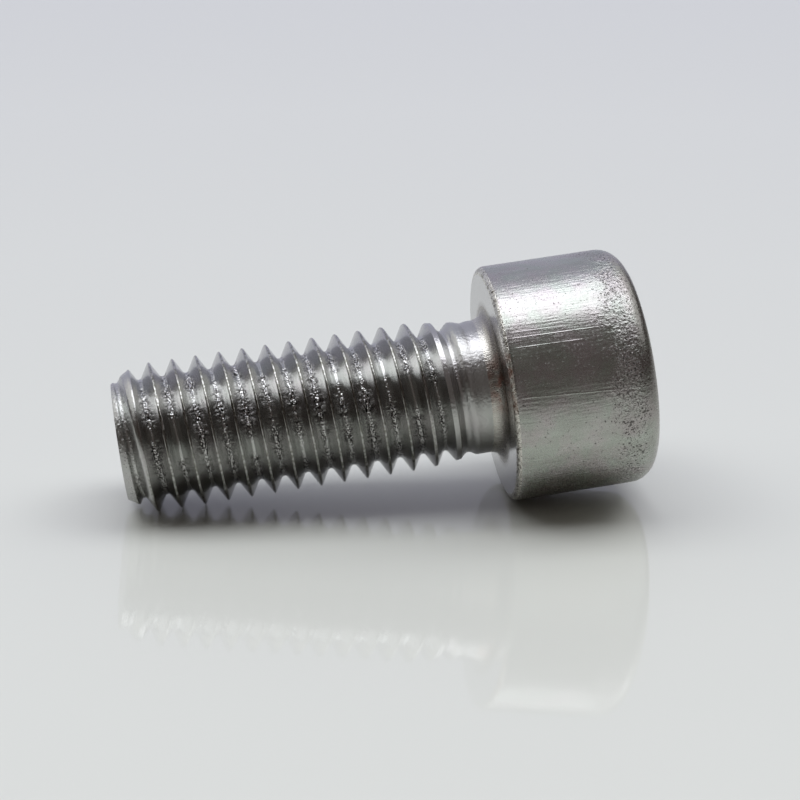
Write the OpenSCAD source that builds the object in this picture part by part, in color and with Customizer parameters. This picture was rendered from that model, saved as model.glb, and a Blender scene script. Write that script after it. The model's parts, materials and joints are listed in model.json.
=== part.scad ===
// Hex socket cap screw with a coarse metric thread, forged and rolled from
// one piece of steel wire. All sizes are in millimetres.
//
// The screw is drawn along its own axis, with the tip at -X, the socket at +X
// and the centre of the bearing face at the origin. It is then leaned to lie
// as a loose screw does: on the edge of its head and on a crest near the tip.

/* [Thread] */
// Diameter over the thread's crests
thread_d = 7.9; // [7.6:0.02:8.4]
// Distance from one crest to the next
pitch = 1.25; // [1:0.05:1.5]
// Length from the bearing face to the tip
shank_l = 20.2; // [12:0.1:30]
// Width of the flat left on top of each crest
crest_w = 0.16; // [0.1:0.01:0.22]
// Diameter of the plain neck that the thread is rolled from
neck_d = 7.14; // [6.8:0.02:7.3]
// Length of the plain neck, from the bearing face
neck_l = 0.8; // [0.7:0.1:3]
// Length over which the crests come down to the neck
crest_runout_l = 3.2; // [1:0.1:4]
// Length over which the roots come up to the neck
root_runout_l = 2.4; // [1:0.1:4]
// Facets round the thread
thread_facets = 36; // [24:4:44]

/* [Tip] */
// Diameter of the flat face at the tip
tip_d = 6.2; // [5:0.1:6.8]
// Slope of the tip's chamfer, measured from the axis
chamfer_angle = 32; // [25:1:45]

/* [Head] */
// Diameter of the head
head_d = 12.75; // [12:0.05:14]
// Height of the head above the bearing face
head_h = 7.8; // [7:0.1:10]
// Radius of the edge round the socket end
top_edge_r = 1.25; // [0.2:0.05:1.6]
// Radius of the edge round the bearing face
bearing_edge_r = 0.4; // [0.1:0.05:0.8]
// Radius of the fillet where the neck meets the bearing face
fillet_r = 0.6; // [0.3:0.05:0.65]

/* [Socket] */
// Width of the hexagon across its flats
socket_af = 6.06; // [5.5:0.02:6.4]
// Depth of the hexagon's flats
socket_depth = 4; // [3:0.1:5]
// Further depth of the blunt point that the punch leaves
punch_point_h = 0.4; // [0.2:0.05:0.8]
// Depth of the countersink round the socket's mouth, at the middle of each flat
mouth_h = 0.3; // [0.1:0.05:0.5]
// Room between the hexagon's corners and the countersink's edge
mouth_margin = 0.12; // [0.05:0.01:0.3]
// Turn of the hexagon about the axis; at 30 it lies with a flat at the bottom
socket_turn = 30; // [0:1:59]

/* [Lie] */
// Turn of the thread about the axis, as the screw came to rest
turn_angle = 148; // [0:1:359]

/* [Hidden] */

steel = [0.62, 0.61, 0.58];
exact = 96; // fragments of round shapes
overlap = 0.2; // depth by which joined shapes run into each other
step = 0.02; // ledge where the fillet meets the neck

thread_r = thread_d / 2;
neck_r = neck_d / 2;
tip_r = tip_d / 2;
head_r = head_d / 2;

// Metric thread form: flanks at 60 degrees and a root rounded to a sixth of
// the sharp triangle's height
flank_angle = 30;
sharp_h = pitch / 2 / tan(flank_angle);
root_round_r = sharp_h / 6;
// Height that the flank falls from the crest's edge to where the root begins
flank_w = pitch / 2 - crest_w / 2 - root_round_r * cos(flank_angle);
flank_h = flank_w / tan(flank_angle);
thread_h = flank_h + root_round_r * (1 - sin(flank_angle));

// One turn of the profile, as [place along the axis, depth below the crest]
PROFILE = [
    [-crest_w / 2, 0],
    [crest_w / 2, 0],
    [crest_w / 2 + flank_w, flank_h],
    [pitch / 2, thread_h],
    [pitch - crest_w / 2 - flank_w, flank_h]
];

// The thread's solid runs from beyond the tip to inside the head
thread_end = 2 * overlap;
thread_turns = ceil((thread_end + shank_l) / pitch) + 2;
thread_start = thread_end - thread_turns * pitch;
rows = thread_turns * len(PROFILE);

function clamp(value) = min(1, max(0, value));

// How far the form has come up from the neck at x: 0 on the neck, 1 in full
function share(x, runout) = clamp((-neck_l - x) / runout);

// Radius of the thread at x, where its full form would be depth below the crest
function thread_radius(x, depth) =
    let (rise = thread_r - depth - neck_r)
    neck_r + rise * share(x, rise > 0 ? crest_runout_l : root_runout_l);

// A point on the thread: the column gives the angle, the row the turn and the
// place in the profile
function thread_point(column, row) =
    let (
        form = PROFILE[row % len(PROFILE)],
        turn = floor(row / len(PROFILE)) + column / thread_facets,
        x = thread_start + turn * pitch + form[0],
        angle = turn_angle + 360 * (thread_start / pitch + column / thread_facets),
        r = thread_radius(x, form[1])
    )
    [x, -r * sin(angle), r * cos(angle)];

// Number of a thread point; past the last column, the next turn begins
function index(column, row) = column < thread_facets
    ? column * (rows + 1) + row
    : row + len(PROFILE);

// Radius of the tip's chamfer at x
function chamfer_radius(x) = tip_r + (x + shank_l) * tan(chamfer_angle);

// Lean at which a crest at x touches the surface that the head's edge lies on
function touching_lean(x) =
    let (
        reach = bearing_edge_r - x,
        drop = head_r - bearing_edge_r - min(thread_r, chamfer_radius(x))
    )
    atan2(drop, reach) + asin(bearing_edge_r / norm([reach, drop]));

// The crests lie a pitch apart along the underside, and the first that touches
// sets the lean
underside_start = ((180 - turn_angle) / 360) * pitch;
lean = min([
    for (x = [underside_start - ceil(shank_l / pitch + 1) * pitch : pitch : -shank_l / 2])
    if (x > -shank_l) touching_lean(x)
]);

module along_x() {
    rotate([0, 90, 0]) children();
}

// The thread with its run-out and the neck, before the tip is cut
module rolled_thread() {
    points = [
        for (column = [0 : thread_facets - 1])
        for (row = [0 : rows])
        thread_point(column, row)
    ];
    tip_centre = len(points);
    head_centre = len(points) + 1;
    centres = [
        [thread_start - pitch, 0, 0],
        [thread_end + pitch, 0, 0]
    ];
    last = thread_facets - 1;
    skin = [
        for (column = [0 : last])
        for (row = [0 : (column < last ? rows : rows - len(PROFILE)) - 1])
        for (half = [0, 1])
        half == 0
            ? [index(column, row), index(column + 1, row + 1), index(column + 1, row)]
            : [index(column, row), index(column, row + 1), index(column + 1, row + 1)]
    ];
    tip_end = [
        for (column = [0 : last]) [tip_centre, index(column, 0), index(column + 1, 0)]
    ];
    tip_step = [
        for (row = [0 : len(PROFILE) - 1]) [tip_centre, index(0, row + 1), index(0, row)]
    ];
    head_end = [
        for (column = [0 : last - 1])
        [head_centre, index(column + 1, rows), index(column, rows)]
    ];
    head_step = [
        for (row = [rows - len(PROFILE) : rows - 1])
        [head_centre, index(last, row), index(last, row + 1)]
    ];
    closing = [[head_centre, index(0, rows), index(last, rows - len(PROFILE))]];
    polyhedron(
        concat(points, centres),
        concat(skin, tip_end, tip_step, head_end, head_step, closing),
        convexity = 10
    );
}

// All that the tip's flat and chamfer leave standing
module tip_envelope() {
    clear_r = thread_r + 1;
    clear_x = -shank_l + (clear_r - tip_r) / tan(chamfer_angle);
    along_x() rotate_extrude($fn = exact) polygon([
        [0, -shank_l],
        [tip_r, -shank_l],
        [clear_r, clear_x],
        [clear_r, thread_end + 2 * pitch],
        [0, thread_end + 2 * pitch]
    ]);
}

module threaded_shank() {
    color(steel) intersection() {
        rolled_thread();
        tip_envelope();
    }
}

// Half section of the head, as [radius, height above the bearing face]
module head_section() {
    square([head_r - top_edge_r, head_h]);
    square([head_r - bearing_edge_r, head_h - top_edge_r]);
    translate([0, bearing_edge_r])
        square([head_r, head_h - top_edge_r - bearing_edge_r]);
    translate([head_r - top_edge_r, head_h - top_edge_r])
        circle(top_edge_r, $fn = exact);
    translate([head_r - bearing_edge_r, bearing_edge_r])
        circle(bearing_edge_r, $fn = exact);
}

// Half section of the fillet below the head
module fillet_section() {
    difference() {
        translate([0, -fillet_r]) square([neck_r + step + fillet_r, fillet_r + overlap]);
        translate([neck_r + step + fillet_r, -fillet_r]) circle(fillet_r, $fn = exact);
    }
}

module head() {
    color(steel) along_x() rotate_extrude($fn = exact) {
        head_section();
        fillet_section();
    }
}

// The space of the hexagon socket, with its blunt bottom and countersunk mouth
module socket() {
    flat_r = socket_af / 2;
    corner_r = flat_r / cos(30);
    mouth_r = corner_r + mouth_margin;
    // The countersink's cone runs on past the flats, into the open socket
    cone_end_r = flat_r - overlap;
    cone_h = mouth_h * (mouth_r - cone_end_r) / (mouth_r - flat_r);
    color(steel) along_x() {
        translate([0, 0, head_h - socket_depth])
            cylinder(r = corner_r, h = socket_depth + 1, $fn = 6);
        translate([0, 0, head_h - socket_depth - punch_point_h])
            cylinder(r1 = 0, r2 = flat_r, h = punch_point_h, $fn = exact);
        translate([0, 0, head_h - cone_h])
            cylinder(r1 = cone_end_r, r2 = mouth_r, h = cone_h, $fn = exact);
    }
}

module cap_screw() {
    rotate([0, -lean, 0]) difference() {
        union() {
            threaded_shank();
            head();
        }
        rotate([socket_turn, 0, 0]) socket();
    }
}

cap_screw();
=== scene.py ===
"""Looks of a hex socket cap screw of bare stainless steel.

The head was struck in a die, the socket punched and the thread rolled, all from one piece of
drawn wire. Sizes are in millimetres up to the mesh, which is in metres. Along the screw's own
axis, x runs from the tip to the socket, with the bearing face at 0. Angles round the axis run
from the top towards the camera.
"""

import json
import math
import random

import bmesh
import bpy
from mathutils import Matrix, Vector


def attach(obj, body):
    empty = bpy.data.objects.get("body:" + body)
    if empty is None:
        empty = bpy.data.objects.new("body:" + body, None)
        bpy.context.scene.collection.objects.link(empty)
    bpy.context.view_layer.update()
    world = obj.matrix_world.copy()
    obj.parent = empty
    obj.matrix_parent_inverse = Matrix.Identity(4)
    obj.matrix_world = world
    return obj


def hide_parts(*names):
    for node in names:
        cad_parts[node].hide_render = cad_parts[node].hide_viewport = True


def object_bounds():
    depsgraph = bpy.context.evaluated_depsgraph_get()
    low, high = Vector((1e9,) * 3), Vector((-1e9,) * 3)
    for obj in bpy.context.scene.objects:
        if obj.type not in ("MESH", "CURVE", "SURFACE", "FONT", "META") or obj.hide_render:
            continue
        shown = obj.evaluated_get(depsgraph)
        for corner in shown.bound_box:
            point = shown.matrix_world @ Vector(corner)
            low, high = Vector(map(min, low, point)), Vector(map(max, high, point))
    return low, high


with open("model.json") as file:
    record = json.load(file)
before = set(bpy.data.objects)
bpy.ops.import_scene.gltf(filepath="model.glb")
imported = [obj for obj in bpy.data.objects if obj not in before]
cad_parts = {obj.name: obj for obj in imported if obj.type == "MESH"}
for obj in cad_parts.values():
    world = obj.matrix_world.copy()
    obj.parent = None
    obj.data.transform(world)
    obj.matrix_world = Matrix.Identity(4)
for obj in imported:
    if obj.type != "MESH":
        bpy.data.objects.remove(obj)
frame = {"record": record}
cad_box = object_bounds()

MM = 0.001

# The screw lies on its head's edge and a crest, so its axis rises by this angle
tip_way = frame["record"]["mounts"][0]["axis"]
LEAN = math.atan2(-tip_way[2], -tip_way[0])

# Thread. Its crests, run-out and neck are drawn a little closer to the photograph than the part's
# source has them, and lie within its box
CREST_R = 3.95
PITCH = 1.25
SHANK_L = 20.2
CREST_W = 0.08
NECK_R = 3.59
CREST_START = -1.3
CREST_RUNOUT_L = 3.0
ROOT_START = -1.0
ROOT_RUNOUT_L = 2.2
TURN_ANGLE = 148
FLANK_ANGLE = math.radians(30)
TIP_R = 3.1
CHAMFER_ANGLE = math.radians(32)

# Head and socket, as in the part's source but for a slightly larger fillet
HEAD_R = 6.375
HEAD_H = 7.8
TOP_EDGE_R = 1.25
BEARING_EDGE_R = 0.4
FILLET_R = 0.67
FILLET_STEP = 0.02
FLAT_R = 3.03
SOCKET_DEPTH = 4
PUNCH_POINT_H = 0.4
MOUTH_H = 0.3
MOUTH_MARGIN = 0.12
SOCKET_TURN = math.radians(30)

# The socket end was struck a little out of square: its slope, and where that fades out
END_SLOPE = 0.016
SQUARE_BELOW = 3.5
SLOPED_FROM = 6.5

# How finely the surfaces are drawn: columns round the axis, rows across one pitch, and rings on
# the head and tip
COLUMNS = 180
FLANK_ROWS = (0.15, 0.5, 0.85)
ROOT_ROWS = (0.35, 0.7, 1.0)
CREST_SOFTNESS = 0.035
CHAMFER_TRIES = 20
FILLET_STEPS = 9
FACE_STEPS = 8
BEARING_EDGE_STEPS = 7
TRIMMED_STEPS = 5
SIDE_STEPS = 44
TOP_EDGE_STEPS = 9
END_STEPS = 6
WALL_STEPS = 12
POINT_STEPS = 6
TIP_STEPS = 7
SHARP_EDGE = math.radians(40)
WELD_DISTANCE = 1e-7

# Where the wound skin is cut off, inside the neck
NECK_CUT = -0.7

# Lines that the die scored on the side of the head: start and end along the axis, angle from the
# top in degrees, drift in radians a millimetre, and width
DIE_MARKS = (
    (0.45, 5.2, 49.7, 0.0023, 0.09),
    (0.45, 2.6, 46.8, 0.0023, 0.08),
    (0.45, 4.2, 54.6, 0.0022, 0.1),
    (0.4, 7.2, 77.7, 0.0096, 0.12),
)

# Middle of the rust on the side towards the camera, between the neck and the head's edge
DRIED_AT = (-0.5 * MM, -4.7 * MM, 1.75 * MM)

# Names of the finishes, in the order of the screw's material slots
ROLLED, NECK, BEARING, TRIMMED, STRUCK, PUNCHED, SHEARED = range(7)

# The full thread's form: a sharp triangle with its crest cut off and its root rounded
SHARP_H = PITCH / 2 / math.tan(FLANK_ANGLE)
ROOT_ROUND_R = SHARP_H / 6
FLANK_END = PITCH / 2 - ROOT_ROUND_R * math.cos(FLANK_ANGLE)
FLANK_H = (FLANK_END - CREST_W / 2) / math.tan(FLANK_ANGLE)
THREAD_H = FLANK_H + ROOT_ROUND_R * (1 - math.sin(FLANK_ANGLE))


def depth_below_crest(side):
    """Depth of the full thread at a place beside the crest's middle."""
    away = abs(side)
    if away <= CREST_W / 2:
        return 0.0
    if away <= FLANK_END:
        return (away - CREST_W / 2) / math.tan(FLANK_ANGLE)
    from_root = PITCH / 2 - away
    return THREAD_H - ROOT_ROUND_R + math.sqrt(max(0.0, ROOT_ROUND_R**2 - from_root**2))


def share(x, start, runout):
    """How far the form has come up at x, over a length that starts at start."""
    return min(1.0, max(0.0, (start - x) / runout))


def chamfer_radius(x):
    return TIP_R + (x + SHANK_L) * math.tan(CHAMFER_ANGLE)


def uncut_radius(x, side):
    """Radius of the thread at x, before the tip was chamfered.

    Towards the neck the roots come up to it, and the crests were never filled, so they are low
    and wide.
    """
    rise = CREST_R - depth_below_crest(side) - NECK_R
    if rise < 0:
        return NECK_R + rise * share(x, ROOT_START, ROOT_RUNOUT_L)
    return NECK_R + min(rise, (CREST_R - NECK_R) * share(x, CREST_START, CREST_RUNOUT_L))


def thread_radius(crest_x, side):
    x = crest_x + side
    return min(uncut_radius(x, side), chamfer_radius(x))


def crest_corner(crest_x, way):
    """Place beside the crest's middle where the flank ends, at the crest or at the chamfer."""
    high, low = way * CREST_W / 2, way * (PITCH / 2 - 2 * CREST_SOFTNESS)
    if uncut_radius(crest_x + high, high) <= chamfer_radius(crest_x + high):
        return high
    if uncut_radius(crest_x + low, low) >= chamfer_radius(crest_x + low):
        return low
    for _ in range(CHAMFER_TRIES):
        middle = (high + low) / 2
        if uncut_radius(crest_x + middle, middle) > chamfer_radius(crest_x + middle):
            high = middle
        else:
            low = middle
    return (high + low) / 2


def crest_rows(crest_x):
    """The rows across one pitch, as (place beside the crest, radius), from the tip's side."""
    left, right = crest_corner(crest_x, -1), crest_corner(crest_x, 1)
    # Where the top is narrow, its corners are rounded less, so that their rows keep clear
    clear = 1.1
    soft = min(CREST_SOFTNESS, (right - left) / (2 * clear))
    # The row on top lies where the chamfer meets the full height, if it does so there
    top = (left + right) / 2
    full_height = (CREST_R - TIP_R) / math.tan(CHAMFER_ANGLE) - SHANK_L - crest_x
    if left + clear * soft < full_height < right - clear * soft:
        top = full_height
    half = PITCH / 2
    rooted = [half - (half - FLANK_END) * row for row in ROOT_ROWS]
    flanked = [FLANK_END - (FLANK_END - CREST_W / 2) * row for row in FLANK_ROWS]
    # Rows from the root up to the flank's end, squeezed where the chamfer leaves less flank
    climb = [(half - place) / (half - CREST_W / 2) for place in rooted + flanked]
    rows = [(-half, 0)]
    rows += [(-half + (left - soft + half) * step, 0) for step in climb]
    rows += [(left - soft, 0), (left, soft), (left + soft, 0), (top, 0)]
    rows += [(right - soft, 0), (right, soft), (right + soft, 0)]
    rows += [(half - (half - right - soft) * step, 0) for step in reversed(climb)]
    drawn = []
    for side, rounding in rows:
        radius = thread_radius(crest_x, side)
        if rounding:
            before = thread_radius(crest_x, side - rounding)
            after = thread_radius(crest_x, side + rounding)
            radius = radius / 2 + (before + after) / 4
        drawn.append((side, radius))
    return drawn


# Dents in the crests near the tip: place, angle in degrees, depth and spread in degrees
NICK_COUNT = 26
random.seed(8)
NICKS = [
    (
        random.uniform(-19.6, -13.5),
        random.uniform(0, 360),
        random.uniform(0.03, 0.08),
        random.uniform(2, 5),
    )
    for _ in range(NICK_COUNT)
]


def nicked(x, angle, radius):
    """Radius with the small dents that the crests near the tip have taken."""
    for nick_x, nick_angle, depth, spread in NICKS:
        away = (angle - nick_angle + 180) % 360 - 180
        if abs(x - nick_x) < PITCH / 2 and abs(away) < 3 * spread:
            lowered = CREST_R - depth * math.exp(-((away / spread) ** 2))
            radius = min(radius, lowered)
    return radius


def around(x, radius, angle):
    """Point of the mesh at x along the axis, at an angle in radians."""
    return Vector((x, -radius * math.sin(angle), radius * math.cos(angle))) * MM


def roll_thread(mesh):
    """The thread and neck as one skin that winds round the axis."""
    start = -math.ceil(SHANK_L / PITCH) - 1
    turns = 2 - start
    columns = []
    for column in range(COLUMNS):
        degrees = 360 * column / COLUMNS
        points = []
        for turn in range(turns):
            crest_x = PITCH * ((degrees - TURN_ANGLE) / 360 + start + turn)
            for side, radius in crest_rows(crest_x):
                x = crest_x + side
                point = around(x, nicked(x, degrees, radius), math.radians(degrees))
                points.append(mesh.verts.new(point))
        columns.append(points)
    rows_a_turn = len(columns[0]) // turns
    for column in range(COLUMNS):
        last = column == COLUMNS - 1
        this, following = columns[column], columns[0] if last else columns[column + 1]
        shift = rows_a_turn if last else 0
        for row in range(len(this) - 1 - shift):
            corners = (this[row], following[row + shift], following[row + shift + 1], this[row + 1])
            mesh.faces.new(corners).material_index = ROLLED


def open_edges(mesh, near_x):
    """The open rim of the skin on the side of x that near_x is on."""
    middle = -SHANK_L / 2 * MM
    wanted = near_x * MM > middle
    return [
        edge for edge in mesh.edges if edge.is_boundary and (edge.verts[0].co.x > middle) == wanted
    ]


def out_of_square(x, radius, angle):
    """How far the struck end lies back at this place."""
    sloped = min(1.0, max(0.0, (x - SQUARE_BELOW) / (SLOPED_FROM - SQUARE_BELOW)))
    return END_SLOPE * sloped * radius * math.cos(angle)


def add_ring(mesh, rim, place, finish):
    """Draws the rim on to where place(angle) says, as (x, radius), and returns the new rim."""
    made = bmesh.ops.extrude_edge_only(mesh, edges=rim)["geom"]
    for item in made:
        if isinstance(item, bmesh.types.BMVert):
            angle = math.atan2(-item.co.y, item.co.z)
            x, radius = place(angle)
            item.co = around(x - out_of_square(x, radius, angle), radius, angle)
        elif isinstance(item, bmesh.types.BMFace):
            item.material_index = finish
    return [item for item in made if isinstance(item, bmesh.types.BMEdge) and item.is_boundary]


def round_place(x, radius):
    """A plain round ring."""
    return lambda angle: (x, radius)


def hexagon_radius(angle):
    """Distance of the socket's wall from the axis."""
    sixth = math.radians(60)
    off_flat = (angle - SOCKET_TURN) % sixth - sixth / 2
    return FLAT_R / math.cos(off_flat)


def arc(x, radius, size, start, end, steps):
    """Places round an arc about (x, radius), with angles from the axis in degrees."""
    turned = [math.radians(start + (end - start) * step / steps) for step in range(1, steps + 1)]
    return [(x + size * math.cos(turn), radius + size * math.sin(turn)) for turn in turned]


def strike_head(mesh, rim):
    """The fillet, bearing face, head and socket, drawn ring by ring from the neck's rim."""
    fillet_r = NECK_R + FILLET_STEP + FILLET_R
    fillet = arc(-FILLET_R, fillet_r, FILLET_R, -90, 0, FILLET_STEPS)
    for x, radius in fillet:
        rim = add_ring(mesh, rim, round_place(x, radius), NECK)
    flat_end = HEAD_R - BEARING_EDGE_R
    for step in range(1, FACE_STEPS + 1):
        radius = fillet_r + (flat_end - fillet_r) * step / FACE_STEPS
        rim = add_ring(mesh, rim, round_place(0, radius), BEARING)
    edge = arc(BEARING_EDGE_R, flat_end, BEARING_EDGE_R, 180, 90, BEARING_EDGE_STEPS)
    for step, (x, radius) in enumerate(edge):
        finish = TRIMMED if step < TRIMMED_STEPS else STRUCK
        rim = add_ring(mesh, rim, round_place(x, radius), finish)
    side_end = HEAD_H - TOP_EDGE_R
    for step in range(1, SIDE_STEPS + 1):
        x = BEARING_EDGE_R + (side_end - BEARING_EDGE_R) * step / SIDE_STEPS
        rim = add_ring(mesh, rim, round_place(x, HEAD_R), STRUCK)
    for x, radius in arc(side_end, HEAD_R - TOP_EDGE_R, TOP_EDGE_R, 90, 0, TOP_EDGE_STEPS):
        rim = add_ring(mesh, rim, round_place(x, radius), STRUCK)
    mouth_r = FLAT_R / math.cos(math.radians(30)) + MOUTH_MARGIN
    for step in range(1, END_STEPS + 1):
        radius = HEAD_R - TOP_EDGE_R + (mouth_r - HEAD_R + TOP_EDGE_R) * step / END_STEPS
        rim = add_ring(mesh, rim, round_place(HEAD_H, radius), STRUCK)

    def countersunk(angle):
        wall = hexagon_radius(angle)
        return HEAD_H - MOUTH_H * (mouth_r - wall) / (mouth_r - FLAT_R), wall

    rim = add_ring(mesh, rim, countersunk, PUNCHED)
    for step in range(1, WALL_STEPS + 1):

        def down_the_wall(angle, done=step / WALL_STEPS):
            x, wall = countersunk(angle)
            return x + (HEAD_H - SOCKET_DEPTH - x) * done, wall

        rim = add_ring(mesh, rim, down_the_wall, PUNCHED)
    for step in range(POINT_STEPS):
        done = step / POINT_STEPS
        x = HEAD_H - SOCKET_DEPTH - PUNCH_POINT_H * done
        rim = add_ring(mesh, rim, round_place(x, FLAT_R * (1 - done)), PUNCHED)
    for face in bmesh.ops.contextual_create(mesh, geom=rim)["faces"]:
        face.material_index = PUNCHED


def shear_tip(mesh, rim):
    """The flat face at the tip."""
    for step in range(1, TIP_STEPS):
        radius = TIP_R * (1 - step / TIP_STEPS)
        rim = add_ring(mesh, rim, round_place(-SHANK_L, radius), SHEARED)
    for face in bmesh.ops.contextual_create(mesh, geom=rim)["faces"]:
        face.material_index = SHEARED


def make_screw():
    mesh = bmesh.new()
    roll_thread(mesh)
    for x, side in ((-SHANK_L, {"clear_inner": True}), (NECK_CUT, {"clear_outer": True})):
        everything = mesh.verts[:] + mesh.edges[:] + mesh.faces[:]
        place = (x * MM, 0, 0)
        bmesh.ops.bisect_plane(mesh, geom=everything, plane_co=place, plane_no=(1, 0, 0), **side)
    strike_head(mesh, open_edges(mesh, 0))
    shear_tip(mesh, open_edges(mesh, -SHANK_L))
    bmesh.ops.remove_doubles(mesh, verts=mesh.verts, dist=WELD_DISTANCE)
    bmesh.ops.recalc_face_normals(mesh, faces=mesh.faces)
    for edge in mesh.edges:
        edge.smooth = not edge.is_manifold or edge.calc_face_angle() < SHARP_EDGE
    for face in mesh.faces:
        face.smooth = True
    mesh.transform(Matrix.Rotation(-LEAN, 4, "Y"))
    data = bpy.data.meshes.new("steel_screw")
    mesh.to_mesh(data)
    mesh.free()
    screw = bpy.data.objects.new("steel_screw", data)
    bpy.context.scene.collection.objects.link(screw)
    even = screw.modifiers.new("even_shading", "WEIGHTED_NORMAL")
    even.keep_sharp = True
    return screw


def srgb(text):
    """Linear colour, with alpha, of an sRGB hex colour."""
    parts = [int(text[i : i + 2], 16) / 255 for i in (1, 3, 5)]
    return [p / 12.92 if p <= 0.04045 else ((p + 0.055) / 1.055) ** 2.4 for p in parts] + [1.0]


def add_node(tree, kind, inputs=None, **settings):
    """Adds a node. An input is a constant, or another node's output to link from.

    The colours that a Mix node mixes are its inputs 6 and 7, and what comes out is its output 2.
    """
    made = tree.nodes.new(kind)
    for name, value in settings.items():
        setattr(made, name, value)
    for name, value in (inputs or {}).items():
        if isinstance(value, bpy.types.NodeSocket):
            tree.links.new(value, made.inputs[name])
        else:
            made.inputs[name].default_value = value
    return made


def new_finish(name):
    """An empty material, its tree and the place on the screw's own axes."""
    finish = bpy.data.materials.new(name)
    finish.use_nodes = True
    tree = finish.node_tree
    tree.nodes.clear()
    place = add_node(tree, "ShaderNodeTexCoord").outputs["Object"]
    own = add_node(
        tree, "ShaderNodeVectorRotate", {"Vector": place, "Angle": LEAN}, rotation_type="Y_AXIS"
    )
    return finish, tree, own.outputs[0]


def cell(size):
    """Scale of a texture whose grains are that many millimetres wide."""
    return 1 / (size * MM)


def finish_steel(finish, tree, colour, roughness, height, depth):
    """Puts bare metal with that relief, depth in millimetres, on the finish."""
    relief = add_node(
        tree, "ShaderNodeBump", {"Height": height, "Distance": depth * MM, "Strength": 1.0}
    )
    steel = add_node(
        tree,
        "ShaderNodeBsdfPrincipled",
        {
            "Base Color": colour,
            "Metallic": 1.0,
            "Roughness": roughness,
            "Normal": relief.outputs[0],
        },
    )
    add_node(tree, "ShaderNodeOutputMaterial", {"Surface": steel.outputs[0]})
    return finish


def drawn_mark(tree, x, angle, start, end, middle, drift, width):
    """Height, from 0 to 1, of a line that the die scored from start to end along the axis."""
    turned = add_node(
        tree, "ShaderNodeMath", {0: x, 1: -drift / MM, 2: angle}, operation="MULTIPLY_ADD"
    )
    off = add_node(
        tree,
        "ShaderNodeMath",
        {0: turned.outputs[0], 1: math.radians(middle)},
        operation="SUBTRACT",
    )
    away = add_node(tree, "ShaderNodeMath", {0: off.outputs[0]}, operation="ABSOLUTE")
    line = add_node(
        tree,
        "ShaderNodeMapRange",
        {
            "Value": away.outputs[0],
            "From Min": 0.0,
            "From Max": width / 2 / HEAD_R,
            "To Min": 1.0,
            "To Max": 0.0,
        },
        interpolation_type="SMOOTHSTEP",
    )
    # The line comes in over half a millimetre and goes out over a little more
    ends = []
    for near, far in ((start - 0.2, start + 0.3), (end + 0.2, end - 0.6)):
        faded = add_node(
            tree, "ShaderNodeMapRange", {"Value": x, "From Min": near * MM, "From Max": far * MM}
        )
        ends.append(faded.outputs[0])
    both = add_node(tree, "ShaderNodeMath", {0: ends[0], 1: ends[1]}, operation="MULTIPLY")
    return add_node(
        tree, "ShaderNodeMath", {0: line.outputs[0], 1: both.outputs[0]}, operation="MULTIPLY"
    ).outputs[0]


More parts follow.
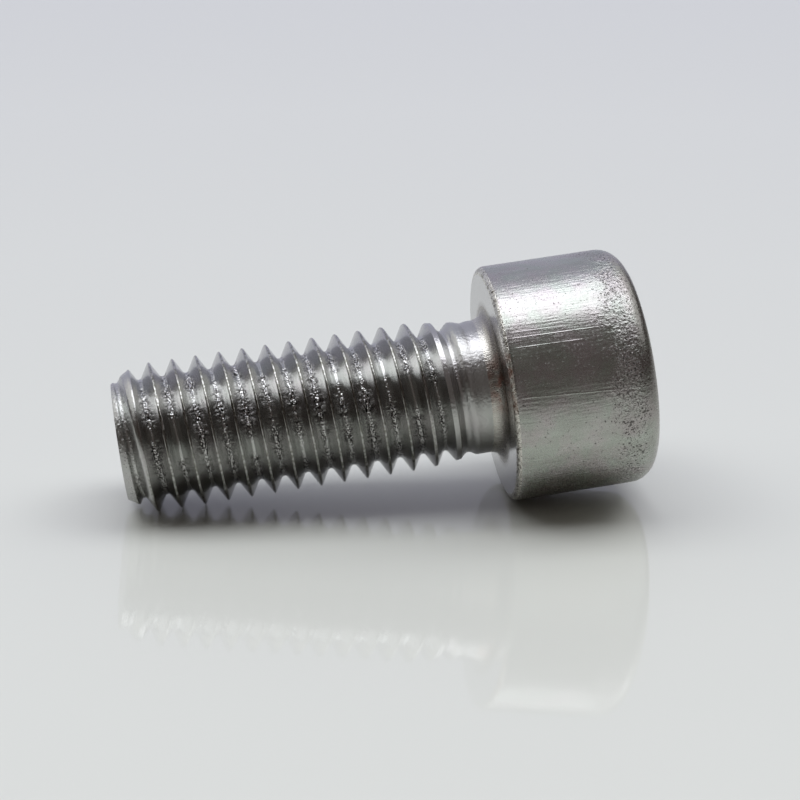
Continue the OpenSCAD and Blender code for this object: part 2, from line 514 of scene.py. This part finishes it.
def struck_head():
    """Stainless steel struck in a die and pushed out of it, which leaves a satin side.

    Fine lines run along the axis. Small pits are scattered over it, and towards the socket, where
    the steel was free to swell, it has an orange peel that breaks the light up.
    """
    finish, tree, place = new_finish("die_struck_stainless_steel")
    parts = add_node(tree, "ShaderNodeSeparateXYZ", {"Vector": place})
    x = parts.outputs["X"]
    left = add_node(tree, "ShaderNodeMath", {0: parts.outputs["Y"], 1: -1.0}, operation="MULTIPLY")
    angle = add_node(
        tree, "ShaderNodeMath", {0: left.outputs[0], 1: parts.outputs["Z"]}, operation="ARCTAN2"
    ).outputs[0]

    # The real lines are a few hundredths wide; these are as fine as the render shows
    along = add_node(
        tree, "ShaderNodeVectorMath", {0: place, 1: (0.09, 1, 1)}, operation="MULTIPLY"
    )
    lines = add_node(
        tree, "ShaderNodeTexNoise", {"Vector": along.outputs[0], "Scale": cell(0.12), "Detail": 3.0}
    ).outputs["Fac"]
    grain = add_node(
        tree, "ShaderNodeTexNoise", {"Vector": place, "Scale": cell(0.11), "Detail": 2.0}
    ).outputs["Fac"]
    peel = add_node(
        tree,
        "ShaderNodeTexNoise",
        {"Vector": place, "Scale": cell(0.2), "Detail": 3.0, "Roughness": 0.6},
    ).outputs["Fac"]
    wander = add_node(
        tree, "ShaderNodeTexNoise", {"Vector": place, "Scale": cell(1.3), "Detail": 3.0}
    ).outputs["Fac"]
    moved = add_node(
        tree, "ShaderNodeMath", {0: wander, 1: 2.6 * MM, 2: x}, operation="MULTIPLY_ADD"
    )
    swollen = add_node(
        tree,
        "ShaderNodeMapRange",
        {"Value": moved.outputs[0], "From Min": 6.0 * MM, "From Max": 7.4 * MM, "To Min": 0.05},
        interpolation_type="SMOOTHSTEP",
    ).outputs[0]

    # The rim is rounded by the die and stays smooth
    rim = add_node(
        tree,
        "ShaderNodeMapRange",
        {"Value": x, "From Min": 6.7 * MM, "From Max": 7.2 * MM, "To Min": 1.0, "To Max": 0.12},
    ).outputs[0]
    swollen = add_node(
        tree, "ShaderNodeMath", {0: swollen, 1: rim}, operation="MULTIPLY"
    ).outputs[0]

    height = add_node(tree, "ShaderNodeMath", {0: lines, 1: 0.26}, operation="MULTIPLY").outputs[0]
    height = add_node(
        tree, "ShaderNodeMath", {0: grain, 1: 0.13, 2: height}, operation="MULTIPLY_ADD"
    ).outputs[0]
    swelling = add_node(
        tree, "ShaderNodeMath", {0: swollen, 1: 1.2}, operation="MULTIPLY"
    ).outputs[0]
    height = add_node(
        tree, "ShaderNodeMath", {0: peel, 1: swelling, 2: height}, operation="MULTIPLY_ADD"
    ).outputs[0]
    for mark in DIE_MARKS:
        raised = drawn_mark(tree, x, angle, *mark)
        height = add_node(
            tree, "ShaderNodeMath", {0: raised, 1: 0.14, 2: height}, operation="MULTIPLY_ADD"
        ).outputs[0]

    # Pits: few on the side, where they come in drifts, and many where the steel swelled
    holes = add_node(
        tree,
        "ShaderNodeTexNoise",
        {"Vector": place, "Scale": cell(0.11), "Detail": 2.0, "Distortion": 0.3},
    ).outputs["Fac"]
    drift = add_node(
        tree, "ShaderNodeMath", {0: wander, 1: 0.16, 2: -0.08}, operation="MULTIPLY_ADD"
    ).outputs[0]
    more = add_node(
        tree, "ShaderNodeMath", {0: swollen, 1: 0.1, 2: drift}, operation="MULTIPLY_ADD"
    ).outputs[0]
    deep = add_node(tree, "ShaderNodeMath", {0: holes, 1: more}, operation="ADD").outputs[0]
    pitted = add_node(
        tree,
        "ShaderNodeMapRange",
        {"Value": deep, "From Min": 0.645, "From Max": 0.75},
        interpolation_type="SMOOTHSTEP",
    ).outputs[0]
    height = add_node(
        tree, "ShaderNodeMath", {0: pitted, 1: -0.12, 2: height}, operation="MULTIPLY_ADD"
    ).outputs[0]

    tinge = add_node(
        tree, "ShaderNodeMapRange", {"Value": wander, "From Min": 0.38, "From Max": 0.62}
    ).outputs[0]
    tint = add_node(
        tree, "ShaderNodeMix", {0: tinge, 6: srgb("#afb4ac"), 7: srgb("#b6b1b0")}, data_type="RGBA"
    ).outputs[2]
    # Handling has left faint smears along the axis
    drawn_out = add_node(
        tree, "ShaderNodeVectorMath", {0: place, 1: (0.3, 1, 1)}, operation="MULTIPLY"
    )
    smears = add_node(
        tree,
        "ShaderNodeTexNoise",
        {"Vector": drawn_out.outputs[0], "Scale": cell(0.7), "Detail": 4.0},
    ).outputs["Fac"]
    smeared = add_node(
        tree,
        "ShaderNodeMapRange",
        {"Value": smears, "From Min": 0.35, "From Max": 0.65, "To Min": 0.0, "To Max": 0.35},
    ).outputs[0]
    tint = add_node(
        tree, "ShaderNodeMix", {0: smeared, 6: tint, 7: srgb("#93908b")}, data_type="RGBA"
    ).outputs[2]
    # Painted shade darkens the rounded rim at the socket end
    rim_shade = add_node(
        tree,
        "ShaderNodeMapRange",
        {"Value": x, "From Min": 6.6 * MM, "From Max": 7.3 * MM, "To Min": 0.0, "To Max": 0.3},
    ).outputs[0]
    tint = add_node(
        tree, "ShaderNodeMix", {0: rim_shade, 6: tint, 7: srgb("#7d7a74")}, data_type="RGBA"
    ).outputs[2]
    # Painted shade darkens the pits
    pit_shade = add_node(
        tree, "ShaderNodeMath", {0: pitted, 1: 0.8}, operation="MULTIPLY"
    ).outputs[0]
    colour = add_node(
        tree, "ShaderNodeMix", {0: pit_shade, 6: tint, 7: srgb("#3a3833")}, data_type="RGBA"
    ).outputs[2]
    roughness = add_node(
        tree,
        "ShaderNodeMapRange",
        {"Value": grain, "From Min": 0.3, "From Max": 0.7, "To Min": 0.23, "To Max": 0.33},
    ).outputs[0]
    return finish_steel(finish, tree, colour, roughness, height, depth=0.06)


def rusted(tree, place, tint):
    """The tint with the thin brown film of rust that is left where water dried in the corner."""
    off = add_node(tree, "ShaderNodeVectorMath", {0: place, 1: DRIED_AT}, operation="DISTANCE")
    near = add_node(
        tree,
        "ShaderNodeMapRange",
        {
            "Value": off.outputs["Value"],
            "From Min": 1.3 * MM,
            "From Max": 2.4 * MM,
            "To Min": 0.65,
            "To Max": 0.0,
        },
    )
    spots = add_node(
        tree, "ShaderNodeTexNoise", {"Vector": place, "Scale": cell(0.45), "Detail": 3.0}
    )
    spread = add_node(
        tree,
        "ShaderNodeMapRange",
        {"Value": spots.outputs["Fac"], "From Min": 0.4, "From Max": 0.6},
    )
    film = add_node(
        tree, "ShaderNodeMath", {0: near.outputs[0], 1: spread.outputs[0]}, operation="MULTIPLY"
    )
    return add_node(
        tree, "ShaderNodeMix", {0: film.outputs[0], 6: tint, 7: srgb("#86503f")}, data_type="RGBA"
    ).outputs[2]


def trimmed_edge():
    """Stainless steel upset into the gap of the die and trimmed: a pale rim with torn specks."""
    finish, tree, place = new_finish("trimmed_stainless_steel")
    torn = add_node(
        tree,
        "ShaderNodeTexNoise",
        {"Vector": place, "Scale": cell(0.2), "Detail": 3.0, "Roughness": 0.7},
    )
    worn = add_node(
        tree,
        "ShaderNodeMapRange",
        {"Value": torn.outputs["Fac"], "From Min": 0.36, "From Max": 0.5},
    )
    tint = add_node(
        tree,
        "ShaderNodeMix",
        {0: worn.outputs[0], 6: srgb("#5d564d"), 7: srgb("#d6d4cc")},
        data_type="RGBA",
    )
    roughness = add_node(
        tree,
        "ShaderNodeMapRange",
        {
            "Value": torn.outputs["Fac"],
            "From Min": 0.3,
            "From Max": 0.7,
            "To Min": 0.4,
            "To Max": 0.16,
        },
    )
    return finish_steel(
        finish,
        tree,
        rusted(tree, place, tint.outputs[2]),
        roughness.outputs[0],
        torn.outputs["Fac"],
        depth=0.07,
    )


def bearing_face():
    """Stainless steel pressed flat under the head: even, and smooth enough to mirror the neck."""
    finish, tree, place = new_finish("pressed_stainless_steel")
    parts = add_node(tree, "ShaderNodeSeparateXYZ", {"Vector": place})
    flat = add_node(
        tree, "ShaderNodeCombineXYZ", {"Y": parts.outputs["Y"], "Z": parts.outputs["Z"]}
    )
    radius = add_node(tree, "ShaderNodeVectorMath", {0: flat.outputs[0]}, operation="LENGTH")
    rings = add_node(
        tree,
        "ShaderNodeTexNoise",
        {"W": radius.outputs["Value"], "Scale": cell(0.16), "Detail": 3.0},
        noise_dimensions="1D",
    )
    grain = add_node(
        tree, "ShaderNodeTexNoise", {"Vector": place, "Scale": cell(0.14), "Detail": 3.0}
    )
    height = add_node(
        tree,
        "ShaderNodeMath",
        {0: rings.outputs["Fac"], 1: 0.6, 2: grain.outputs["Fac"]},
        operation="MULTIPLY_ADD",
    )
    tint = add_node(
        tree,
        "ShaderNodeMix",
        {0: grain.outputs["Fac"], 6: srgb("#b1b0b1"), 7: srgb("#c2c1c0")},
        data_type="RGBA",
    )
    roughness = add_node(
        tree,
        "ShaderNodeMapRange",
        {
            "Value": grain.outputs["Fac"],
            "From Min": 0.3,
            "From Max": 0.7,
            "To Min": 0.14,
            "To Max": 0.22,
        },
    )
    # Painted shade darkens the face next to the corner with the neck
    corner = add_node(
        tree,
        "ShaderNodeMapRange",
        {
            "Value": radius.outputs["Value"],
            "From Min": 4.25 * MM,
            "From Max": 4.6 * MM,
            "To Min": 0.85,
            "To Max": 0.0,
        },
    )
    tint = add_node(
        tree,
        "ShaderNodeMix",
        {0: corner.outputs[0], 6: tint.outputs[2], 7: srgb("#746d69")},
        data_type="RGBA",
    )
    return finish_steel(
        finish, tree, tint.outputs[2], roughness.outputs[0], height.outputs[0], depth=0.008
    )


def drawn_neck():
    """Stainless wire as it was drawn, before the thread was rolled: bright, with a fine grain."""
    finish, tree, place = new_finish("drawn_stainless_wire")
    along = add_node(
        tree, "ShaderNodeVectorMath", {0: place, 1: (0.15, 1, 1)}, operation="MULTIPLY"
    )
    lines = add_node(
        tree, "ShaderNodeTexNoise", {"Vector": along.outputs[0], "Scale": cell(0.09), "Detail": 3.0}
    )
    grain = add_node(
        tree, "ShaderNodeTexNoise", {"Vector": place, "Scale": cell(0.08), "Detail": 3.0}
    )
    height = add_node(
        tree,
        "ShaderNodeMath",
        {0: lines.outputs["Fac"], 1: 0.8, 2: grain.outputs["Fac"]},
        operation="MULTIPLY_ADD",
    )
    tint = add_node(
        tree,
        "ShaderNodeMix",
        {0: grain.outputs["Fac"], 6: srgb("#bcbeb4"), 7: srgb("#cac4bf")},
        data_type="RGBA",
    )
    # Painted shade darkens the neck in the corner under the head
    x = add_node(tree, "ShaderNodeSeparateXYZ", {"Vector": place}).outputs["X"]
    corner = add_node(
        tree,
        "ShaderNodeMapRange",
        {"Value": x, "From Min": -0.55 * MM, "From Max": -0.15 * MM, "To Min": 0.0, "To Max": 0.7},
    )
    tint = add_node(
        tree,
        "ShaderNodeMix",
        {0: corner.outputs[0], 6: tint.outputs[2], 7: srgb("#746d69")},
        data_type="RGBA",
    )
    roughness = add_node(
        tree,
        "ShaderNodeMapRange",
        {
            "Value": lines.outputs["Fac"],
            "From Min": 0.3,
            "From Max": 0.7,
            "To Min": 0.24,
            "To Max": 0.32,
        },
    )
    return finish_steel(
        finish,
        tree,
        rusted(tree, place, tint.outputs[2]),
        roughness.outputs[0],
        height.outputs[0],
        depth=0.02,
    )


def rolled_thread():
    """Stainless steel rolled between dies: bright flanks, scuffed crests and torn, glinting roots.

    Towards the head the dies lifted off, and the wire keeps its duller drawn skin.
    """
    finish, tree, place = new_finish("rolled_stainless_steel")
    parts = add_node(tree, "ShaderNodeSeparateXYZ", {"Vector": place})
    x = parts.outputs["X"]
    flat = add_node(
        tree, "ShaderNodeCombineXYZ", {"Y": parts.outputs["Y"], "Z": parts.outputs["Z"]}
    )
    radius = add_node(
        tree, "ShaderNodeVectorMath", {0: flat.outputs[0]}, operation="LENGTH"
    ).outputs["Value"]
    patches = add_node(
        tree, "ShaderNodeTexNoise", {"Vector": place, "Scale": cell(1.6), "Detail": 3.0}
    ).outputs["Fac"]

    # How far the torn part of the root reaches up the flanks
    reach = add_node(
        tree,
        "ShaderNodeMapRange",
        {
            "Value": patches,
            "From Min": 0.35,
            "From Max": 0.65,
            "To Min": -0.13 * MM,
            "To Max": 0.1 * MM,
        },
    ).outputs[0]
    depth = add_node(tree, "ShaderNodeMath", {0: radius, 1: reach}, operation="SUBTRACT").outputs[0]
    root = add_node(
        tree,
        "ShaderNodeMapRange",
        {
            "Value": depth,
            "From Min": 3.14 * MM,
            "From Max": 3.24 * MM,
            "To Min": 1.0,
            "To Max": 0.02,
        },
    ).outputs[0]
    for near, far in ((0.4 - SHANK_L, 0.9 - SHANK_L), (-1.2, -1.9)):
        faded = add_node(
            tree, "ShaderNodeMapRange", {"Value": x, "From Min": near * MM, "From Max": far * MM}
        ).outputs[0]
        root = add_node(
            tree, "ShaderNodeMath", {0: root, 1: faded}, operation="MULTIPLY"
        ).outputs[0]
    skin = add_node(
        tree, "ShaderNodeMapRange", {"Value": x, "From Min": -4.2 * MM, "From Max": -1.8 * MM}
    ).outputs[0]
    knocked = add_node(
        tree, "ShaderNodeMapRange", {"Value": x, "From Min": -18.6 * MM, "From Max": -19.8 * MM}
    ).outputs[0]
    skin = add_node(tree, "ShaderNodeMath", {0: skin, 1: knocked}, operation="MAXIMUM").outputs[0]

    torn = add_node(
        tree,
        "ShaderNodeTexNoise",
        {"Vector": place, "Scale": cell(0.13), "Detail": 2.0, "Roughness": 0.6},
    ).outputs["Fac"]
    # The burrs are sharp grains that glint from one side; some places have none
    grains = add_node(
        tree, "ShaderNodeTexVoronoi", {"Vector": place, "Scale": cell(0.14), "Randomness": 1.0}
    )
    burrs = add_node(
        tree,
        "ShaderNodeMapRange",
        {"Value": grains.outputs["Distance"], "From Max": 0.6, "To Min": 1.0, "To Max": 0.0},
    ).outputs[0]
    chosen = add_node(
        tree, "ShaderNodeMapRange", {"Value": torn, "From Min": 0.42, "From Max": 0.47}
    ).outputs[0]
    burrs = add_node(tree, "ShaderNodeMath", {0: burrs, 1: chosen}, operation="MULTIPLY").outputs[0]
    bruised = add_node(
        tree,
        "ShaderNodeMapRange",
        {"Value": x, "From Min": -19.3 * MM, "From Max": -19.8 * MM, "To Max": 0.3},
    ).outputs[0]
    rough = add_node(tree, "ShaderNodeMath", {0: root, 1: bruised}, operation="MAXIMUM").outputs[0]
    burrs = add_node(tree, "ShaderNodeMath", {0: burrs, 1: rough}, operation="MULTIPLY").outputs[0]
    grain = add_node(
        tree, "ShaderNodeTexNoise", {"Vector": place, "Scale": cell(0.15), "Detail": 2.0}
    ).outputs["Fac"]
    coarse = add_node(
        tree, "ShaderNodeMapRange", {"Value": skin, "To Min": 0.07, "To Max": 0.4}
    ).outputs[0]
    height = add_node(
        tree, "ShaderNodeMath", {0: grain, 1: coarse, 2: burrs}, operation="MULTIPLY_ADD"
    ).outputs[0]

    tint = add_node(
        tree,
        "ShaderNodeMix",
        {0: patches, 6: srgb("#b2b7b1"), 7: srgb("#bab5b6")},
        data_type="RGBA",
    ).outputs[2]
    flecks = add_node(
        tree,
        "ShaderNodeMapRange",
        {"Value": torn, "From Min": 0.42, "From Max": 0.48, "To Min": 0.95, "To Max": 0.0},
    ).outputs[0]
    dirt = add_node(tree, "ShaderNodeMath", {0: flecks, 1: root}, operation="MULTIPLY").outputs[0]
    colour = add_node(
        tree, "ShaderNodeMix", {0: dirt, 6: tint, 7: srgb("#2e2b27")}, data_type="RGBA"
    ).outputs[2]
    # The crests are scuffed in short stretches, which breaks up the bright lines they draw
    crest = add_node(
        tree, "ShaderNodeMapRange", {"Value": radius, "From Min": 3.84 * MM, "From Max": 3.92 * MM}
    ).outputs[0]
    scuffs = add_node(
        tree,
        "ShaderNodeMapRange",
        {"Value": grain, "From Min": 0.42, "From Max": 0.58, "To Min": 0.1, "To Max": 0.85},
    ).outputs[0]
    scuffed = add_node(
        tree, "ShaderNodeMath", {0: crest, 1: scuffs}, operation="MULTIPLY"
    ).outputs[0]
    colour = add_node(
        tree, "ShaderNodeMix", {0: scuffed, 6: colour, 7: srgb("#73736a")}, data_type="RGBA"
    ).outputs[2]
    dullness = add_node(
        tree, "ShaderNodeMapRange", {"Value": skin, "To Min": 0.2, "To Max": 0.3}
    ).outputs[0]
    glint = add_node(
        tree, "ShaderNodeMapRange", {"Value": burrs, "To Min": 1.0, "To Max": 0.4}
    ).outputs[0]
    roughness = add_node(
        tree, "ShaderNodeMath", {0: dullness, 1: glint}, operation="MULTIPLY"
    ).outputs[0]
    return finish_steel(finish, tree, colour, roughness, height, depth=0.055)


def punched_socket():
    """Stainless steel cut by the punch: duller, and scored along the flats."""
    finish, tree, place = new_finish("punched_stainless_steel")
    along = add_node(
        tree, "ShaderNodeVectorMath", {0: place, 1: (0.08, 1, 1)}, operation="MULTIPLY"
    )
    scores = add_node(
        tree, "ShaderNodeTexNoise", {"Vector": along.outputs[0], "Scale": cell(0.14), "Detail": 4.0}
    )
    grain = add_node(
        tree, "ShaderNodeTexNoise", {"Vector": place, "Scale": cell(0.3), "Detail": 4.0}
    )
    height = add_node(
        tree,
        "ShaderNodeMath",
        {0: grain.outputs["Fac"], 1: 0.5, 2: scores.outputs["Fac"]},
        operation="MULTIPLY_ADD",
    )
    tint = add_node(
        tree,
        "ShaderNodeMix",
        {0: grain.outputs["Fac"], 6: srgb("#8f8c85"), 7: srgb("#c2c0b9")},
        data_type="RGBA",
    )
    roughness = add_node(
        tree,
        "ShaderNodeMapRange",
        {
            "Value": scores.outputs["Fac"],
            "From Min": 0.3,
            "From Max": 0.7,
            "To Min": 0.3,
            "To Max": 0.45,
        },
    )
    return finish_steel(
        finish, tree, tint.outputs[2], roughness.outputs[0], height.outputs[0], depth=0.03
    )


def sheared_tip():
    """The wire's end as the shear left it: a coarse matt break with streaks across."""
    finish, tree, place = new_finish("sheared_stainless_steel")
    across = add_node(
        tree, "ShaderNodeVectorMath", {0: place, 1: (1, 0.2, 1)}, operation="MULTIPLY"
    )
    streaks = add_node(
        tree,
        "ShaderNodeTexNoise",
        {"Vector": across.outputs[0], "Scale": cell(0.22), "Detail": 4.0},
    )
    grain = add_node(
        tree, "ShaderNodeTexNoise", {"Vector": place, "Scale": cell(0.25), "Detail": 5.0}
    )
    height = add_node(
        tree,
        "ShaderNodeMath",
        {0: grain.outputs["Fac"], 1: 0.7, 2: streaks.outputs["Fac"]},
        operation="MULTIPLY_ADD",
    )
    tint = add_node(
        tree,
        "ShaderNodeMix",
        {0: grain.outputs["Fac"], 6: srgb("#98958e"), 7: srgb("#c4c2bb")},
        data_type="RGBA",
    )
    roughness = add_node(
        tree,
        "ShaderNodeMapRange",
        {
            "Value": grain.outputs["Fac"],
            "From Min": 0.3,
            "From Max": 0.7,
            "To Min": 0.34,
            "To Max": 0.5,
        },
    )
    return finish_steel(
        finish, tree, tint.outputs[2], roughness.outputs[0], height.outputs[0], depth=0.05
    )


def build_world():
    """A studio: a pale backdrop behind the screw, bright walls at the sides, and a dark room."""
    world = bpy.data.worlds.new("studio")
    bpy.context.scene.world = world
    world.use_nodes = True
    tree = world.node_tree
    tree.nodes.clear()
    way = add_node(tree, "ShaderNodeTexCoord").outputs["Generated"]
    parts = add_node(tree, "ShaderNodeSeparateXYZ", {"Vector": way})
    aside = add_node(
        tree, "ShaderNodeMath", {0: parts.outputs["X"]}, operation="ABSOLUTE"
    ).outputs[0]
    beyond = add_node(
        tree, "ShaderNodeMath", {0: aside, 1: -0.6, 2: parts.outputs["Y"]}, operation="MULTIPLY_ADD"
    ).outputs[0]
    # The backdrop ends sooner on the side of the head
    headwards = add_node(
        tree, "ShaderNodeMath", {0: parts.outputs["X"], 1: 0.0}, operation="MAXIMUM"
    ).outputs[0]
    beyond = add_node(
        tree, "ShaderNodeMath", {0: headwards, 1: -0.8, 2: beyond}, operation="MULTIPLY_ADD"
    ).outputs[0]
    behind = add_node(
        tree,
        "ShaderNodeMapRange",
        {"Value": beyond, "From Min": -0.1, "From Max": 0.3},
        interpolation_type="SMOOTHSTEP",
    ).outputs[0]
    corner = add_node(
        tree,
        "ShaderNodeMapRange",
        {"Value": aside, "From Min": 0.3, "From Max": 0.55},
        interpolation_type="SMOOTHSTEP",
    ).outputs[0]
    dark = add_node(
        tree, "ShaderNodeMix", {0: corner, 6: srgb("#645e5c"), 7: srgb("#3a312c")}, data_type="RGBA"
    ).outputs[2]
    room = add_node(
        tree, "ShaderNodeMix", {0: behind, 6: dark, 7: srgb("#c0c1d2")}, data_type="RGBA"
    ).outputs[2]
    walls = []
    for value, start, end in (
        (aside, 0.35, 0.55),
        (parts.outputs["Z"], 0.25, 0.45),
        (parts.outputs["Y"], -0.25, 0.0),
    ):
        wall = add_node(
            tree,
            "ShaderNodeMapRange",
            {"Value": value, "From Min": start, "From Max": end},
            interpolation_type="SMOOTHSTEP",
        ).outputs[0]
        walls.append(wall)
    wall = add_node(
        tree, "ShaderNodeMath", {0: walls[0], 1: walls[1]}, operation="MULTIPLY"
    ).outputs[0]
    wall = add_node(tree, "ShaderNodeMath", {0: wall, 1: walls[2]}, operation="MULTIPLY").outputs[0]
    room = add_node(
        tree, "ShaderNodeMix", {0: wall, 6: room, 7: srgb("#ffffff")}, data_type="RGBA"
    ).outputs[2]
    lit = add_node(tree, "ShaderNodeBackground", {"Color": room})
    add_node(tree, "ShaderNodeOutputWorld", {"Surface": lit.outputs[0]})


def build_floor(level):
    """Glossy white sheet that the screw lies on."""
    reach = 4.0
    data = bpy.data.meshes.new("floor")
    corners = [(x * reach, y * reach, level) for x, y in ((-1, -1), (1, -1), (1, 1), (-1, 1))]
    data.from_pydata(corners, [], [(0, 1, 2, 3)])
    floor = bpy.data.objects.new("floor", data)
    bpy.context.scene.collection.objects.link(floor)
    finish, tree, _ = new_finish("glossy_white_sheet")
    sheet = add_node(
        tree,
        "ShaderNodeBsdfPrincipled",
        {
            "Base Color": srgb("#dddfd7"),
            "Roughness": 0.6,
            "Specular IOR Level": 0.2,
            "Coat Weight": 1.0,
            "Coat Roughness": 0.02,
        },
    )
    add_node(tree, "ShaderNodeOutputMaterial", {"Surface": sheet.outputs[0]})
    data.materials.append(finish)


def build_light():
    """The soft box overhead, a little behind the screw. Its size goes by its height in metres."""
    height = 1.6
    radiance = 2.72
    lamp = bpy.data.lights.new("soft_box", "AREA")
    lamp.shape = "RECTANGLE"
    lamp.size = 1.8 * height
    lamp.size_y = 0.7 * height
    lamp.color = srgb("#f6f8ff")[:3]
    lamp.energy = radiance * math.pi * lamp.size * lamp.size_y
    box = bpy.data.objects.new("soft_box", lamp)
    box.location = (0.08 * height, 0.07 * height, height)
    bpy.context.scene.collection.objects.link(box)


def build_camera():
    """The photograph's view, from a little above the floor. Its distances are in millimetres."""
    yaw, rise, roll = (math.radians(degrees) for degrees in (8.622, 19.453, 0.972))
    distance = 111.76
    target = Vector((-5.046, 0, -0.7205))
    picture_width, focal_length_px = 800, 2078.8
    ahead = Vector(
        (math.sin(yaw) * math.cos(rise), math.cos(yaw) * math.cos(rise), -math.sin(rise))
    )
    level = Vector((math.cos(yaw), -math.sin(yaw), 0))
    up = level.cross(ahead)
    right = level * math.cos(roll) + up * math.sin(roll)
    top = up * math.cos(roll) - level * math.sin(roll)
    lens = bpy.data.cameras.new("camera")
    lens.sensor_width = 36
    lens.lens = focal_length_px / picture_width * lens.sensor_width
    lens.clip_start = 0.005
    camera = bpy.data.objects.new("camera", lens)
    turned = Matrix((right, top, -ahead)).transposed().to_4x4()
    camera.matrix_world = Matrix.Translation((target - ahead * distance) * MM) @ turned
    bpy.context.scene.collection.objects.link(camera)
    bpy.context.scene.camera = camera


screw = make_screw()
finishes = (
    rolled_thread,
    drawn_neck,
    bearing_face,
    trimmed_edge,
    struck_head,
    punched_socket,
    sheared_tip,
)
for make_finish in finishes:
    screw.data.materials.append(make_finish())
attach(screw, "root")
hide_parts("cap_screw")

build_world()
build_floor(cad_box[0][2])
build_light()
build_camera()
bpy.context.scene.view_settings.view_transform = "Standard"
